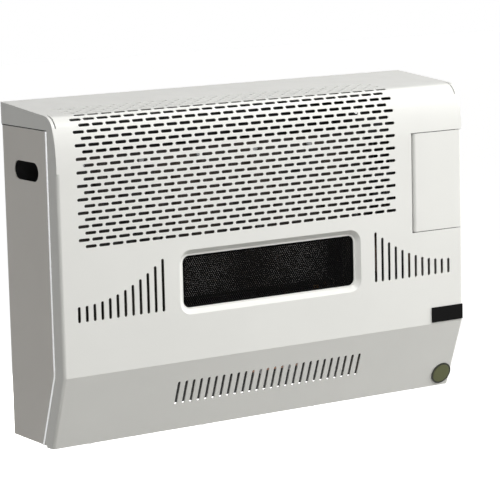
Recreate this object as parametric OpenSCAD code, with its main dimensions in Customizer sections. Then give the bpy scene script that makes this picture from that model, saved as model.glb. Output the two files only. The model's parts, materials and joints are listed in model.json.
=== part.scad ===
// Wall mounted gas heater with a balanced flue.
// Millimetres. X to the right, Y towards the wall, Z up.
// The origin is the centre of the four wall fixings, on the wall's face.

/* [Casing] */
// Overall width of the casing
body_w = 652; // [648:1:680]
// Overall height of the casing
body_h = 450; // [440:1:470]
// Depth from the wall to the front face
body_d = 150; // [145:1:160]
// Thickness of the front cover's sheet
cover_t = 1.2; // [1:0.1:1.5]
// Outside radius of the two upright front corners
corner_r = 4.5; // [4:0.1:6]
// Width of the strip that the cover folds back along each side
cheek_d = 23.5; // [20:0.5:28]
// Height of the side seam below the top of the casing
seam_down = 29; // [26:1:33]
// Depth of the lip that the cover folds in along the bottom
lip_d = 16; // [12:1:20]
// Free space between the cover's rear edge and the wall
rear_gap = 2; // [1:0.5:4]
// Width of the slit beside each upper corner, where the sheet rolls over into the top
slit_w = 1.5; // [1:0.1:2]

/* [Front outline] */
// Height of the bevel along the bottom of the front
bevel_h = 100; // [96:1:106]
// How far the bevel runs back at the bottom
bevel_in = 38; // [32:1:42]
// Radius of the first, gentle curve above the flat front
lean_r = 300; // [270:5:330]
// Angle from upright at which the gentle curve ends
lean_end = 6; // [5:0.5:7]
// Radius of the middle curve
brow_r = 105; // [95:1:115]
// Angle from upright at which the middle curve ends
brow_end = 21; // [18:1:24]
// Radius of the tight curve into the top
crown_r = 24; // [22:1:27]
// Rise of the top towards the wall, in degrees
top_slope = 5; // [4:0.5:6]

/* [Grille] */
// Length of one slot
slot_l = 16.5; // [14:0.5:17.5]
// Height of one slot
slot_h = 4.1; // [3.2:0.1:4.4]
// Distance between slots along a row
slot_pitch_x = 20; // [19.5:0.1:20.2]
// Distance between rows, along the sheet
slot_pitch_z = 8.75; // [8.5:0.05:8.9]
// Slots in one row
slots_per_row = 25; // [21:1:25]
// Rows of slots
slot_rows = 26; // [20:1:26]
// Middle of the grille, from the middle of the casing
grille_x = -44; // [-48:1:-40]
// Height of the lowest row above the bevel
grille_up = 169.5; // [167:0.5:172]

/* [Window] */
// Outside width of the window's dished surround
window_w = 295; // [285:1:299]
// Outside height of the window's dished surround
window_h = 87; // [82:1:90]
// Middle of the window above the bevel
window_up = 105.5; // [103:0.5:108]
// Outside corner radius of the surround
dish_r = 18; // [16:1:20]
// How much the surround narrows on each side
dish_draft = 7.5; // [6:0.5:8]
// Depth of the surround
dish_depth = 7; // [6:0.5:8]
// Width of the flat ledge round the opening
dish_ledge = 1; // [0.8:0.1:2]

/* [Side vents] */
// Upright vents on each side of the window
vent_count = 12; // [8:1:12]
// Width of a vent
vent_w = 4.2; // [3:0.1:4.6]
// Distance between vents
vent_pitch = 11.55; // [11:0.05:11.6]
// Height of the shortest vent
vent_short = 21; // [18:1:26]
// Height of the tallest vent, next to the window
vent_tall = 70.5; // [62:0.5:73]
// Middle of the tallest vent, from the middle of the casing
vent_x = 173; // [171.5:0.5:176]
// Lower end of the side vents above the bevel
vent_up = 71; // [69:1:74]

/* [Lower vents] */
// Slots in the bevel
low_count = 26; // [20:1:26]
// Distance between the lower slots
low_pitch = 11.85; // [11.5:0.05:12]
// Middle of the lower slots, from the middle of the casing
low_x = 2.5; // [0:0.5:4]
// Length of a slot in the bevel
low_l = 35; // [30:1:38]
// Middle of the lower slots, down the slope from the bevel's upper edge
low_down = 48.5; // [45:0.5:54]

/* [Control flap] */
// Width of the opening for the flap
flap_w = 89; // [86:1:91]
// Distance of the opening's upper edge below the casing's top
flap_down = 75; // [72:0.5:82]
// Lower edge of the opening above the bevel
flap_up = 134; // [130:1:137]
// Gap round the flap
flap_gap = 1; // [0.8:0.1:1.4]
// Gap beside the flap's rolled finger edge
finger_gap = 3; // [1:0.5:3.5]
// Thickness of the flap
flap_t = 1.5; // [1.2:0.1:1.8]
// Outside radius of the flap's rolled finger edge
flap_roll_r = 5; // [4:0.5:6]
// Radius of the flap's hinge pins
hinge_pin_r = 1.5; // [1.2:0.1:1.6]
// Length of each hinge pin
hinge_pin_l = 18; // [16:1:24]
// Length of a hinge lug along the wall direction
lug_d = 9; // [8:0.5:10]

/* [Controls] */
// Depth of the control compartment behind the front sheet
tray_d = 38; // [36:1:42]
// Thickness of the compartment's sheet
tray_t = 1.2; // [1:0.1:1.4]
// Radius of the control knob's grip
knob_r = 19; // [17:0.5:21]
// Depth of the control knob
knob_d = 23; // [20:1:25]
// Travel of the knob when it is pushed
knob_push = 4; // [3:0.5:4.5]
// Radius of the valve spindle
spindle_r = 4; // [3.5:0.1:4.5]
// Radius of the igniter button
button_r = 6; // [5:0.5:6.5]
// Travel of the igniter button
button_push = 6; // [4:0.5:6.5]

/* [Chassis] */
// Thickness of the chassis sheets
panel_t = 1.2; // [1:0.1:1.5]
// Thickness of the back plate
back_t = 1.5; // [1.2:0.1:2]
// Depth of the back plate's side flanges
back_flange = 18; // [14:1:22]
// Distance between the wall fixings, side to side
fix_x = 500; // [480:5:520]
// Distance between the wall fixings, up and down
fix_z = 340; // [320:5:360]
// Radius of the wall fixing holes
fix_r = 4; // [3:0.25:5]
// Length of the hand slot in a side panel
hand_l = 66; // [58:1:74]
// Height of the hand slot in a side panel
hand_h = 25; // [22:1:28]

/* [Combustion chamber] */
// Width of the chamber
chamber_w = 460; // [440:1:470]
// Depth of the chamber
chamber_d = 80; // [76:1:84]
// Height of the chamber
chamber_h = 268; // [258:1:274]
// Thickness of the chamber's steel
chamber_t = 1.5; // [1.2:0.1:2]
// Height of the chamber's floor above the casing's bottom
chamber_up = 108; // [105:1:111]
// Space between the chamber and the back plate
chamber_gap = 26.5; // [25:0.5:28]
// Thickness of the sight glass
glass_t = 4; // [3:0.5:5]
// Radius of the burner tube
burner_r = 14; // [12:0.5:16]
// Length of the burner tube
burner_l = 400; // [380:1:410]

/* [Flue] */
// Outside radius of the exhaust tube
exhaust_r = 35; // [32:0.5:38]
// Outside radius of the air intake tube
intake_r = 55; // [50:0.5:58]
// Thickness of the flue tubes
flue_t = 1.5; // [1:0.1:2]
// How far the exhaust tube stands out behind the wall face
exhaust_out = 90; // [80:1:110]
// How far the air intake tube stands out behind the wall face
intake_out = 45; // [35:1:55]
// Height of the flue's axis above the wall fixings' centre
flue_z = 55; // [50:1:60]

/* [Gas inlet] */
// Outside radius of the inlet nipple
inlet_r = 10.5; // [9:0.5:11]
// How far the inlet nipple stands out under the casing
inlet_out = 6; // [4:1:12]

/* [Hidden] */
$fn = 48;

// Fits
fit_gap = 0.3;        // between sheets and parts that are put together by hand
shaft_gap = 0.05;     // between a shaft or pin and its bore
cut = 1;              // how far a cutter runs past the face that it cuts
inner_step = 0.1;     // how much the tilted column differs in width from the upright one
slot_fn = 20;         // facets of a slot's round ends
pipe_fn = 24;         // facets of a pipe
elbow_swell = 0.06;   // how much an elbow is thicker than its pipe

// Colours
enamel = [0.93, 0.93, 0.91];
dark_enamel = [0.16, 0.16, 0.16];
zinc = [0.72, 0.73, 0.74];
steel = [0.55, 0.55, 0.56];
hot_steel = [0.34, 0.33, 0.32];
brass = [0.78, 0.62, 0.32];
copper = [0.72, 0.45, 0.3];
black = [0.05, 0.05, 0.05];
ceramic = [0.92, 0.9, 0.85];
olive = [0.38, 0.4, 0.22];

// Casing lines
half_w = body_w / 2;
bottom_z = -body_h / 2;
top_z = body_h / 2;
front_y = -body_d;
bevel_z = bottom_z + bevel_h;
bevel_angle = atan(bevel_in / bevel_h);
crown_end = 90 - top_slope;
seam_z = top_z - seam_down;

// One arc of the front outline: a is its angle from upright
function into(a) = [cos(a), -sin(a)];
function arc_rise(r, a, b) = r * (sin(b) - sin(a));
function arc_back(r, a, b) = r * (cos(a) - cos(b));
function arc_len(r, a, b) = r * (b - a) * PI / 180;
function arc_line(c, r, a, b, n, off) =
  [for (i = [0:n]) c - (r - off) * into(a + (b - a) * i / n)];

curve_back = arc_back(lean_r, 0, lean_end) + arc_back(brow_r, lean_end, brow_end)
  + arc_back(crown_r, brow_end, crown_end);
curve_rise = arc_rise(lean_r, 0, lean_end) + arc_rise(brow_r, lean_end, brow_end)
  + arc_rise(crown_r, brow_end, crown_end);
top_run = body_d - rear_gap - curve_back;
lean_z = top_z - curve_rise - top_run * tan(top_slope);
lean_c = [front_y, lean_z] + lean_r * into(0);
brow_c = lean_c + (brow_r - lean_r) * into(lean_end);
crown_c = brow_c + (crown_r - brow_r) * into(brow_end);
brow_top = crown_c[1] + crown_r * sin(brow_end);
flat_len = lean_z - bevel_z;
lean_len = arc_len(lean_r, 0, lean_end);
brow_len = arc_len(brow_r, lean_end, brow_end);
crown_len = arc_len(crown_r, brow_end, crown_end);

// Where the sheet is at a distance s above the bevel: [y, z, angle from upright]
function on_arc(c, r, a) = concat(c - r * into(a), [a]);
function on_front(s) =
  s <= flat_len ? [front_y, bevel_z + s, 0] :
  s <= flat_len + lean_len ? on_arc(lean_c, lean_r, (s - flat_len) / lean_r * 180 / PI) :
  s <= flat_len + lean_len + brow_len ?
    on_arc(brow_c, brow_r, lean_end + (s - flat_len - lean_len) / brow_r * 180 / PI) :
  s <= flat_len + lean_len + brow_len + crown_len ?
    on_arc(crown_c, crown_r,
      brow_end + (s - flat_len - lean_len - brow_len) / crown_r * 180 / PI) :
  on_top(s - flat_len - lean_len - brow_len - crown_len);
function on_top(run) = concat(
  crown_c - crown_r * into(crown_end) + run * [sin(crown_end), cos(crown_end)], [crown_end]);

// The casing's outline in Y and Z, moved inwards by off; back is its rear edge
// Below the curves it stands out past the front, which the columns below shape
function outline(off, back) = concat(
  [[front_y - cut, bottom_z + off], [front_y - cut, lean_z]],
  arc_line(lean_c, lean_r, 0, lean_end, 4, off),
  arc_line(brow_c, brow_r, lean_end, brow_end, 4, off),
  arc_line(crown_c, crown_r, brow_end, crown_end, 16, off),
  [[back, top_z - off / cos(top_slope) + (back + rear_gap) * tan(top_slope)],
   [back, bottom_z + off]]);

// Extrudes a Y-Z outline along X, centred
module across(width) {
  translate([-width / 2, 0, 0]) rotate([90, 0, 90]) linear_extrude(width) children();
}

// Extrudes an X-Z outline along Y, from y0 to y1
module through_y(y0, y1) {
  translate([0, y1, 0]) rotate([90, 0, 0]) linear_extrude(y1 - y0) children();
}

module stadium(l, h) {
  square([l - h, h], center = true);
  for (s = [-1, 1]) translate([s * (l - h) / 2, 0]) circle(d = h, $fn = slot_fn);
}

module rounded_rect(w, h, r) {
  square([w - 2 * r, h], center = true);
  square([w, h - 2 * r], center = true);
  for (x = [-1, 1], z = [-1, 1])
    translate([x * (w / 2 - r), z * (h / 2 - r)]) circle(r);
}

// A box given by its lowest and highest corners
module block(low, high) {
  translate(low) cube(high - low);
}

// A pipe that follows corner points, with round elbows
module pipe_run(points, r) {
  for (i = [0:len(points) - 2]) {
    step = points[i + 1] - points[i];
    translate(points[i])
      rotate([0, acos(step[2] / norm(step)), atan2(step[1], step[0])])
        cylinder(r = r, h = norm(step), $fn = pipe_fn);
  }
  for (i = [1:len(points) - 2]) translate(points[i]) sphere(r + elbow_swell, $fn = pipe_fn);
}

// A hexagon-headed screw on a front face: the head stands out towards -Y
module front_screw(x, y, z, head_r, head_h, shank_r, shank_l) {
  translate([x, y, z]) rotate([90, 0, 0]) {
    cylinder(r = head_r, h = head_h, $fn = 6);
    translate([0, 0, -shank_l]) cylinder(r = shank_r, h = shank_l + cut);
  }
}

// ---- Front cover ----

lip_screw_r = 2;
lip_screw_y = front_y + bevel_in + lip_d / 2;
lip_screw_x = [-half_w + 60, -90, 90, half_w - 60];

// A column with rounded upright front edges, its front face at y = off.
// Inside the sheet the corners are three flats, so that they meet the faces at a clear angle.
module front_column(off, z0, z1, narrower = 0) {
  w = body_w - 2 * (off + narrower);
  r = corner_r - off;
  translate([0, off, z0]) linear_extrude(z1 - z0) {
    translate([-w / 2, r]) square([w, 3 * body_d]);
    translate([-w / 2 + r, 0]) square([w - 2 * r, 3 * body_d]);
    for (s = [-1, 1]) translate([s * (w / 2 - r), r]) circle(r, $fn = off > 0 ? 12 : $fn);
  }
}

// The casing's solid form, moved inwards by off: an upright column and one tilted along the bevel
module casing_form(off, back) {
  step = off > 0 ? inner_step : -inner_step;
  intersection() {
    across(body_w - 2 * off) polygon(outline(off, back));
    translate([0, front_y, bevel_z]) {
      intersection() {
        front_column(off, -bevel_h, flat_len + cut);
        rotate([bevel_angle, 0, 0]) front_column(off, -2 * bevel_h, 2 * body_h, narrower = step);
      }
      block([-half_w, 0, flat_len], [half_w, 2 * body_d, body_h]);
    }
  }
}

// The side area behind the cover's side strips, which the side panels fill
module side_area() {
  polygon([
    [front_y + cheek_d, seam_z], [front_y + cheek_d, bevel_z],
    [front_y + cheek_d + bevel_in + cut * tan(bevel_angle), bottom_z - cut],
    [body_d, bottom_z - cut], [body_d, seam_z]]);
}

// Widening solid of the window's surround, grown by g
module window_dish(g) {
  cx = window_w / 2 - dish_r;
  cz = window_h / 2 - dish_r;
  r0 = dish_r + g;
  r1 = dish_r - dish_draft + g;
  translate([0, front_y, bevel_z + window_up]) {
    for (x = [-cx, cx], z = [-cz, cz]) translate([x, 0, z]) rotate([-90, 0, 0])
      cylinder(r1 = r0, r2 = r1, h = dish_depth);
    translate([-cx, 0, 0]) rotate([90, 0, 90]) linear_extrude(2 * cx) polygon([
      [0, -cz - r0], [dish_depth, -cz - r1], [dish_depth, cz + r1], [0, cz + r0]]);
    translate([0, 0, -cz]) linear_extrude(2 * cz) polygon([
      [-cx - r0, 0], [-cx - r1, dish_depth], [cx + r1, dish_depth], [cx + r0, 0]]);
  }
}

module grille_cuts() {
  for (k = [0:slot_rows - 1]) {
    p = on_front(grille_up + k * slot_pitch_z);
    side = k % 2 == 0 ? 0.25 : -0.25;
    translate([grille_x + side * slot_pitch_x, p[0], p[1]]) rotate([90 - p[2], 0, 0])
      linear_extrude(4 * cover_t, center = true)
        for (i = [0:slots_per_row - 1])
          translate([(i - (slots_per_row - 1) / 2) * slot_pitch_x, 0]) stadium(slot_l, slot_h);
  }
}

function vent_height(i) =
  vent_short + (vent_tall - vent_short) * pow(1 - i / (vent_count - 1), 2);

module side_vent_cuts() {
  through_y(front_y - cut, front_y + 2 * cover_t)
    for (s = [-1, 1], i = [0:vent_count - 1])
      translate([s * (vent_x + i * vent_pitch), bevel_z + vent_up + vent_height(i) / 2])
        rotate(90) stadium(vent_height(i), vent_w);
}

module low_vent_cuts() {
  translate([0, front_y, bevel_z]) rotate([bevel_angle, 0, 0]) translate([0, 0, -low_down])
    rotate([90, 0, 0]) linear_extrude(6 * cover_t, center = true)
      for (i = [0:low_count - 1])
        translate([low_x + (i - (low_count - 1) / 2) * low_pitch, 0]) rotate(90)
          stadium(low_l, vent_w);
}

flap_z0 = bevel_z + flap_up;
flap_z1 = top_z - flap_down;
flap_h = flap_z1 - flap_z0;
flap_x0 = half_w - flap_w;
hinge_x = half_w - corner_r;
hinge_y = front_y + corner_r;

module flap_cut() {
  block([flap_x0, front_y - cut, flap_z0], [half_w + cut, hinge_y + corner_r + fit_gap, flap_z1]);
}

module slit_cut() {
  x1 = half_w - corner_r;
  for (s = [-1, 1]) translate([s * (x1 - slit_w / 2), 0, 0]) across(slit_w) intersection() {
    difference() {
      polygon(outline(-cut, body_d));
      polygon(outline(2 * cover_t, body_d));
    }
    translate([front_y - cut, brow_top]) square([crown_c[0] - front_y + cut, body_h]);
  }
}

dish_wall = cover_t / cos(atan(dish_draft / dish_depth));

module front_cover() color(enamel) {
  difference() {
    union() {
      difference() {
        casing_form(0, -rear_gap);
        casing_form(cover_t, body_d);
        for (s = [-1, 1]) translate([s * half_w, 0, 0]) across(4 * cover_t) side_area();
        block([-half_w - cut, front_y + bevel_in + lip_d, bottom_z - cut],
          [half_w + cut, body_d, bottom_z + 2 * cover_t]);
        slit_cut();
      }
      intersection() {
        window_dish(dish_wall);
        block([-half_w, front_y + cover_t / 2, bottom_z], [half_w, 0, top_z]);
      }
    }
    difference() {
      window_dish(0);
      through_y(front_y + dish_depth - cover_t, front_y + dish_depth + cut)
        translate([0, bevel_z + window_up]) difference() {
          square([window_w, window_h], center = true);
          opening_outline(0);
        }
    }
    through_y(front_y, front_y + dish_depth + cut)
      translate([0, bevel_z + window_up]) opening_outline(0);
    grille_cuts();
    side_vent_cuts();
    low_vent_cuts();
    flap_cut();
    for (x = lip_screw_x) translate([x, lip_screw_y, bottom_z - cut])
      cylinder(r = lip_screw_r + fit_gap / 2, h = 4 * cover_t);
  }
}

// The opening inside the window's surround, grown by g
module opening_outline(g) {
  s = 2 * (dish_draft + dish_ledge - g);
  rounded_rect(window_w - s, window_h - s, dish_r - dish_draft - dish_ledge + g);
}

// ---- Window guard ----

guard_t = 0.8;
guard_lap = 3;           // how far the guard reaches behind the ledge
guard_hole_r = 2.9;
guard_pitch = 8;
guard_y = front_y + dish_depth;
window_z = bevel_z + window_up;
opening_w = window_w - 2 * (dish_draft + dish_ledge);
opening_h = window_h - 2 * (dish_draft + dish_ledge);
guard_w = opening_w + 2 * (dish_ledge + guard_lap);
guard_h = opening_h + 2 * (dish_ledge + guard_lap);

module window_guard() color(black) {
  columns = floor((opening_w - 2 * guard_hole_r) / guard_pitch);
  row_step = guard_pitch * sin(60);
  rows = floor((opening_h - 2 * guard_hole_r) / row_step);
  through_y(guard_y, guard_y + guard_t) translate([0, window_z]) difference() {
    square([guard_w, guard_h], center = true);
    for (j = [0:rows], i = [0:columns - j % 2])
      translate([(i - (columns - j % 2) / 2) * guard_pitch, (j - rows / 2) * row_step])
        circle(guard_hole_r, $fn = slot_fn);
  }
}

clip_t = 1.5;
clip_h = 10;
clip_x = window_w / 2 + dish_wall + fit_gap;

module guard_clips() color(zinc)
  for (side = [-1, 1], up = [-1, 1])
    translate([0, 0, window_z + up * guard_h / 4]) scale_side(side) {
      block([clip_x, front_y + cover_t, -clip_h / 2],
        [clip_x + 3 * clip_t, guard_y + guard_t + clip_t, clip_h / 2]);
      block([guard_w / 2 - guard_lap, guard_y + guard_t, -clip_h / 2],
        [clip_x + 3 * clip_t, guard_y + guard_t + clip_t, clip_h / 2]);
    }

// Mirrors its children to the left when side is -1
module scale_side(side) {
  if (side < 0) mirror([1, 0, 0]) children();
  else children();
}

// ---- Plates on the cover ----

badge_w = 55;
badge_h = 21.5;
badge_t = 1.5;
badge_up = 2;
edge_lap = 2.5;            // how far both plates reach onto the rounded corner
emblem_r = 16.5;
emblem_t = 1.2;
emblem_down = 86.5;

module badge_plate() color(black)
  translate([half_w - corner_r + edge_lap - badge_w, front_y - badge_t, bevel_z + badge_up])
    cube([badge_w, badge_t, badge_h]);

module round_emblem() color(olive)
  translate([half_w - corner_r + edge_lap - emblem_r, front_y, bevel_z]) rotate([bevel_angle, 0, 0])
    translate([0, 0, -emblem_down]) rotate([90, 0, 0]) {
      cylinder(r = emblem_r, h = emblem_t);
      cylinder(r = emblem_r - 3, h = emblem_t + 0.3);
    }

// ---- Control flap and its hinge ----

lug_t = 3;
lug_side = 4;
pin_end = 0.5;

// Plan view of the flap: rolled finger edge, plate and hinge knuckle
module flap_plan() {
  roll_x = flap_x0 + finger_gap + flap_roll_r;
  translate([roll_x, front_y]) square([hinge_x - roll_x, flap_t]);
  intersection() {
    translate([roll_x, front_y + flap_roll_r]) difference() {
      circle(flap_roll_r);
      circle(flap_roll_r - flap_t);
    }
    translate([roll_x - flap_roll_r, front_y]) square(flap_roll_r);
  }
  translate([hinge_x, hinge_y]) circle(corner_r);
}

module control_flap() color(enamel)
  translate([0, 0, flap_z0 + flap_gap]) linear_extrude(flap_h - 2 * flap_gap) difference() {
    flap_plan();
    translate([hinge_x, hinge_y]) circle(hinge_pin_r + shaft_gap);
  }

module flap_hinge_pins() color(zinc) {
  low = flap_z0 - lug_t - pin_end;
  high = flap_z1 + lug_t + pin_end;
  for (z = [low, high - hinge_pin_l])
    translate([hinge_x, hinge_y, z]) cylinder(r = hinge_pin_r, h = hinge_pin_l);
}

// How far the sheet's inner face stands back on the gentle curve, at the height z
function inner_back(z) =
  lean_r - cover_t - sqrt(pow(lean_r - cover_t, 2) - pow(max(z - lean_z, 0), 2));

// Plan view of a lug whose front is at y0
module lug_plan(y0) {
  x1 = half_w - cover_t - inner_step;
  difference() {
    union() {
      translate([hinge_x - lug_side, y0]) square([lug_side, lug_d]);
      translate([hinge_x - lug_side, hinge_y])
        square([x1 - hinge_x + lug_side, y0 + lug_d - hinge_y]);
      intersection() {
        translate([hinge_x, hinge_y]) circle(corner_r - cover_t - fit_gap);
        translate([hinge_x - lug_side, y0]) square([lug_side + corner_r, lug_d]);
      }
    }
    translate([hinge_x, hinge_y]) circle(hinge_pin_r + shaft_gap);
  }
}

module flap_hinge_lugs() color(zinc) {
  y0 = front_y + cover_t;
  translate([0, 0, flap_z0 - lug_t]) linear_extrude(lug_t) lug_plan(y0);
  translate([0, 0, flap_z1]) linear_extrude(lug_t)
    lug_plan(y0 + inner_back(flap_z1 + lug_t) + 2 * shaft_gap);
}

// ---- Control compartment ----

tray_lap = 3.5;          // how far the compartment is wider than the opening
tray_clear = 0.8;        // from the cover's curved sheet
tray_x0 = flap_x0 - tray_lap;
tray_x1 = hinge_x - corner_r - 2 * fit_gap;
tray_z0 = flap_z0 - tray_lap;
tray_z1 = flap_z1 + tray_lap;
tray_y0 = front_y + cover_t + tray_clear;
tray_y1 = front_y + tray_d;
dial_y = tray_y1 - tray_t;
knob_x = (tray_x0 + tray_x1) / 2;
knob_z = flap_z0 + flap_h / 3;
button_z = flap_z0 + flap_h * 3 / 4;
ring_t = 0.8;
igniter_r = 8.8;
igniter_flange_r = 12;
igniter_flange_t = 2;
igniter_l = 40;

module control_tray() color(dark_enamel) difference() {
  block([tray_x0, tray_y0, tray_z0], [tray_x1, tray_y1, tray_z1]);
  block([tray_x0 + tray_t, tray_y0 - cut, tray_z0 + tray_t],
    [tray_x1 - tray_t, dial_y, tray_z1 - tray_t]);
  through_y(dial_y - cut, tray_y1 + cut) {
    translate([knob_x, knob_z]) circle(spindle_r + 3);
    translate([knob_x, button_z]) circle(igniter_r + fit_gap);
  }
}

module dial_ring() color(zinc)
  through_y(dial_y - ring_t, dial_y) translate([knob_x, knob_z]) difference() {
    circle(knob_r + 13);
    circle(knob_r + 3);
  }

magnet = [10, 5, 18];
magnet_x = flap_x0 + finger_gap + flap_roll_r + 2;
magnet_z = (flap_z0 + flap_z1) / 2;
magnet_y = front_y + flap_t + fit_gap;

module flap_magnet() color(dark_enamel)
  block([magnet_x, magnet_y, magnet_z - magnet[2] / 2],
    [magnet_x + magnet[0], magnet_y + magnet[1], magnet_z + magnet[2] / 2]);

module magnet_bracket() color(zinc) {
  y0 = magnet_y + magnet[1];
  block([tray_x0 + tray_t, y0, magnet_z - magnet[2] / 2],
    [magnet_x + magnet[0], y0 + tray_t, magnet_z + magnet[2] / 2]);
  block([tray_x0 + tray_t, y0, magnet_z - magnet[2] / 2],
    [tray_x0 + 2 * tray_t, y0 + 14, magnet_z + magnet[2] / 2]);
}

// ---- Knob, spindle and igniter ----

knob_skirt_h = 4;
knob_base_h = 12;
grip_w = 11;
knob_bore_l = 14;
knob_y = dial_y - ring_t - knob_push - 0.5;
button_l = 20;
button_out = button_push + 2;
button_y = dial_y - igniter_flange_t - button_out;

module control_knob() color(dark_enamel)
  translate([knob_x, knob_y, knob_z]) rotate([90, 0, 0]) difference() {
    union() {
      cylinder(r = knob_r + 2, h = knob_skirt_h);
      cylinder(r = knob_r, h = knob_base_h);
      intersection() {
        cylinder(r = knob_r, h = knob_d);
        block([-grip_w / 2, -knob_r, 0], [grip_w / 2, knob_r, knob_d]);
      }
    }
    translate([0, 0, -cut]) cylinder(r = spindle_r + shaft_gap, h = knob_bore_l + cut);
    block([-0.6, knob_r - 7, knob_d - 0.6], [0.6, knob_r + cut, knob_d + cut]);
  }

module valve_spindle() color(zinc)
  through_y(knob_y - knob_bore_l + knob_push + 0.5, valve_y0 + bush_l)
    translate([knob_x, knob_z]) circle(spindle_r);

module igniter_button() color(black)
  translate([knob_x, button_y, button_z]) rotate([-90, 0, 0]) {
    translate([0, 0, 1]) cylinder(r = button_r, h = button_l - 1);
    cylinder(r1 = button_r - 1, r2 = button_r, h = 1);
  }

module piezo_igniter() color(black)
  translate([knob_x, dial_y - igniter_flange_t, button_z]) rotate([-90, 0, 0]) difference() {
    union() {
      cylinder(r = igniter_flange_r, h = igniter_flange_t);
      cylinder(r = igniter_r, h = igniter_l);
      cylinder(r = 3.5, h = igniter_l + 6);
    }
    translate([0, 0, -cut]) cylinder(r = button_r + fit_gap, h = button_l - button_out + button_push
      + 1 + cut);
  }

module piezo_nut() color(zinc)
  through_y(tray_y1, tray_y1 + 5) translate([knob_x, button_z]) difference() {
    circle(r = igniter_r + 5, $fn = 6);
    circle(igniter_r + fit_gap / 2);
  }

// ---- Gas valve ----

valve_w = 56;
valve_d = 56;
valve_h = flap_h / 2;
side_port_up = valve_h / 2;
valve_y0 = tray_y1 + 14;
valve_z0 = knob_z - valve_h / 2;
boss_r = 11;
boss_l = 10;
bush_l = 12;
bush_r = 7;
port_r = 9;
port_h = 8;
pipe_r = 4;
inlet_pipe_r = 6;
pilot_r = 2;
sensor_r = 1.5;
lead_r = 2.5;
capillary_r = 1;
outlet_x = knob_x - 14;
inlet_x = knob_x + 14;
port_y = valve_y0 + valve_d / 2;

module gas_valve() color(zinc) {
  x0 = knob_x - valve_w / 2;
  difference() {
    union() {
      block([x0, valve_y0, valve_z0], [x0 + valve_w, valve_y0 + valve_d, valve_z0 + valve_h]);
      block([x0 + 4, valve_y0 - 3, valve_z0 + 6],
        [x0 + valve_w - 4, valve_y0, valve_z0 + valve_h - 6]);
      through_y(valve_y0 - boss_l, valve_y0) translate([knob_x, knob_z]) circle(boss_r);
      for (x = [outlet_x, inlet_x]) translate([x, port_y, valve_z0 - port_h])
        cylinder(r = port_r, h = port_h, $fn = 6);
      translate([knob_x, port_y, valve_z0 + valve_h]) cylinder(r = 15, h = valve_h / 8);
      for (z = [0, 15]) translate([x0 - 6, port_y - z, valve_z0 + side_port_up - z])
        rotate([0, 90, 0]) cylinder(r = 5, h = 6, $fn = 6);
    }
    through_y(valve_y0 - boss_l - cut, valve_y0 + bush_l + 1)
      translate([knob_x, knob_z]) circle(bush_r + shaft_gap);
  }
  for (x = [-1, 1], z = [-1, 1])
    front_screw(knob_x + x * 20, valve_y0 - 3, knob_z + z * (valve_h / 2 - 11), 3, 2, 1.5, 2);
}

module spindle_bush() color(brass)
  through_y(valve_y0 - boss_l, valve_y0 + bush_l) translate([knob_x, knob_z]) difference() {
    circle(bush_r);
    circle(spindle_r + shaft_gap);
  }

module valve_bracket() color(zinc) {
  x0 = knob_x + valve_w / 2;
  z0 = valve_z0 + 8;
  z1 = valve_z0 + valve_h - 8;
  flange = 15;
  block([x0, tray_y1, z0], [x0 + back_t, -back_t, z1]);
  block([x0 + back_t - flange, tray_y1, z0], [x0 + back_t, tray_y1 + back_t, z1]);
  block([x0 - flange, -2 * back_t, z0], [x0 + back_t, -back_t, z1]);
}

// ---- Chassis ----

panel_x = half_w - cover_t - fit_gap - panel_t;
side_lap = 11;           // how far a side panel reaches under the cover's side strip
top_lap = 6;
hand_y = -65;
hand_down = 57.5;
chassis_foot = 8;        // back plate above the casing's bottom
chassis_head = 10;       // back plate below the casing's top

module side_panel() {
  y0 = front_y + cheek_d - side_lap;
  z0 = bottom_z + cover_t + fit_gap;
  translate([panel_x + panel_t / 2, 0, 0]) across(panel_t) difference() {
    polygon([[y0, seam_z + top_lap], [y0, bevel_z], [y0 + bevel_in, z0], [-rear_gap, z0],
      [-rear_gap, seam_z + top_lap]]);
    translate([hand_y, seam_z - hand_down]) stadium(hand_l, hand_h, $fn = 48);
  }
}

module left_side_panel() color(enamel) mirror([1, 0, 0]) side_panel();

module right_side_panel() color(enamel) side_panel();

module back_plate() color(zinc) {
  z0 = bottom_z + chassis_foot;
  z1 = top_z - chassis_head;
  difference() {
    block([-panel_x, -back_t, z0], [panel_x, 0, z1]);
    through_y(-back_t - cut, cut) {
      for (x = [-1, 1], z = [-1, 1]) translate([x * fix_x / 2, z * fix_z / 2]) circle(fix_r);
      translate([0, flue_z]) circle(intake_r + 2);
    }
  }
  for (side = [-1, 1]) scale_side(side)
    block([panel_x - back_t, -back_flange, z0], [panel_x, 0, z1]);
  block([-panel_x, -back_flange, z1 - back_t], [panel_x, 0, z1]);
}

rail_h = 24;

module base_rail() color(zinc) {
  z0 = bottom_z + cover_t;
  y1 = lip_screw_y + 12;
  difference() {
    block([-panel_x, lip_screw_y - 4, z0], [panel_x, y1, z0 + back_t]);
    for (x = lip_screw_x) translate([x, lip_screw_y, z0 - cut])
      cylinder(r = lip_screw_r + fit_gap / 2, h = back_t + 2 * cut);
  }
  block([-panel_x, y1 - back_t, z0], [panel_x, y1, z0 + rail_h]);
}

module cover_screws() color(zinc)
  for (x = lip_screw_x) translate([x, lip_screw_y, bottom_z]) {
    cylinder(r = lip_screw_r, h = 8);
    translate([0, 0, -1.8]) cylinder(r = 3.8, h = 1.8);
  }

// ---- Combustion chamber ----

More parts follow.
